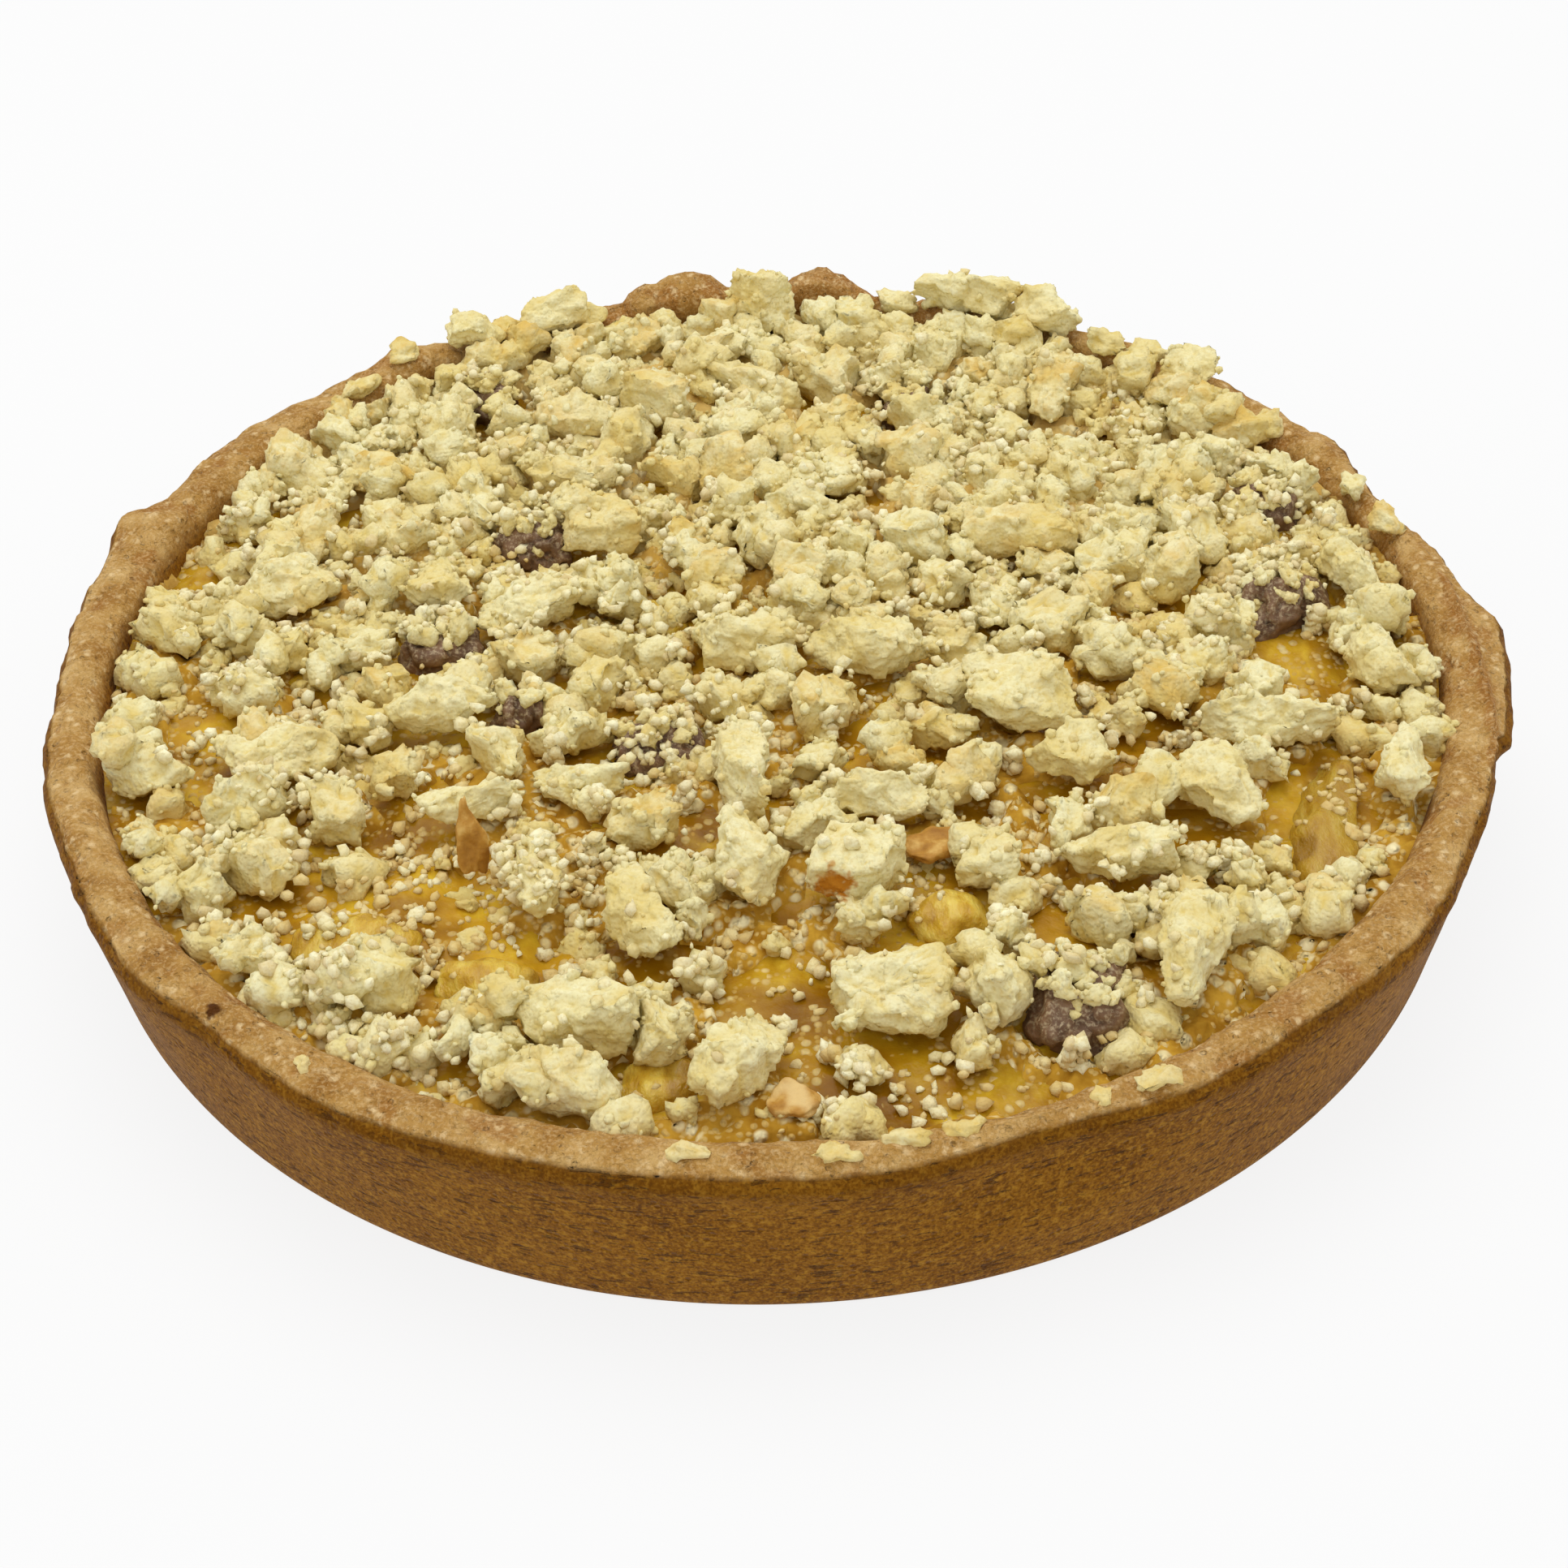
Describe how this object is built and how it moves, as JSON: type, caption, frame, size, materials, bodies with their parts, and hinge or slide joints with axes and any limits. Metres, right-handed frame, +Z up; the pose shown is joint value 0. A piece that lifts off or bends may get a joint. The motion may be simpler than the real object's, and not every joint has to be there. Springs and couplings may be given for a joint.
{
  "type": "apple crumble pie",
  "caption": "Round open shortcrust pie: a straight-sided case filled with apple and raisins and covered with pale broken crumble.",
  "frame": {"origin": "middle of the flat underside of the case", "axes": "+Z up out of the open top; the pictured front of the pie faces -Y, its folded flap of rim faces +X"},
  "size_m": [0.1829, 0.1802, 0.0312],
  "materials": {
    "shortcrust": "matt, fine-pored, golden brown baked shortcrust",
    "jelly": "glossy, amber, slightly clear apple filling",
    "crumble": "matt, grainy, pale cream crumble with golden tips",
    "raisin": "wrinkled, dark brown, dusted with pale grains",
    "apple": "moist, yellow, slightly clear cooked apple",
    "toasted": "dry, orange brown toasted pastry flake"
  },
  "bodies": {
    "root": {"crust": "shortcrust", "apple_filling": "jelly", "apple_back": "apple", "apple_cube": "apple", "apple_front": "apple", "apple_middle": "apple", "apple_slice_left": "apple", "apple_slice_right": "apple", "apple_wedge_left": "apple", "raisin_back": "raisin", "raisin_back_left": "raisin", "raisin_by_box": "raisin", "raisin_centre": "raisin", "raisin_far_right": "raisin", "raisin_front": "raisin", "raisin_left": "raisin", "raisin_left_small": "raisin", "raisin_right": "raisin", "crumble": "crumble", "lump_arch": "crumble", "lump_back_crest": "crumble", "lump_back_golden": "crumble", "lump_back_left_golden": "crumble", "lump_back_pile": "crumble", "lump_back_right_knob": "crumble", "lump_centre_strip": "crumble", "lump_dish_slab": "crumble", "lump_flat_disc": "crumble", "lump_front_browned": "crumble", "lump_front_diagonal": "crumble", "lump_front_knob": "crumble", "lump_front_right_knob": "crumble", "lump_golden_bar": "crumble", "lump_hollow_box": "crumble", "lump_left_bar": "crumble", "lump_left_strip": "crumble", "lump_middle_bar": "crumble", "lump_middle_block": "crumble", "lump_pale_slab": "crumble", "lump_pale_slab_neighbour": "crumble", "lump_ridge_far": "crumble", "lump_ridge_near": "crumble", "lump_right_bar": "crumble", "lump_right_knob": "crumble", "lump_right_strip": "crumble", "lump_rim_golden": "crumble", "lump_rim_left": "crumble", "lump_rim_right": "crumble", "lump_rim_white": "crumble", "lump_slanted_bar": "crumble", "lump_square_slab": "crumble", "lump_tall_right": "crumble", "lump_upright_bar": "crumble", "lump_wall_bar": "crumble", "lump_wall_knob": "crumble", "lump_wedge_neighbour": "crumble", "lump_wedge_slab": "crumble", "toasted_flake_front": "toasted", "toasted_flake_triangle": "toasted", "toasted_flake_upright": "toasted"}
  },
  "joints": []
}
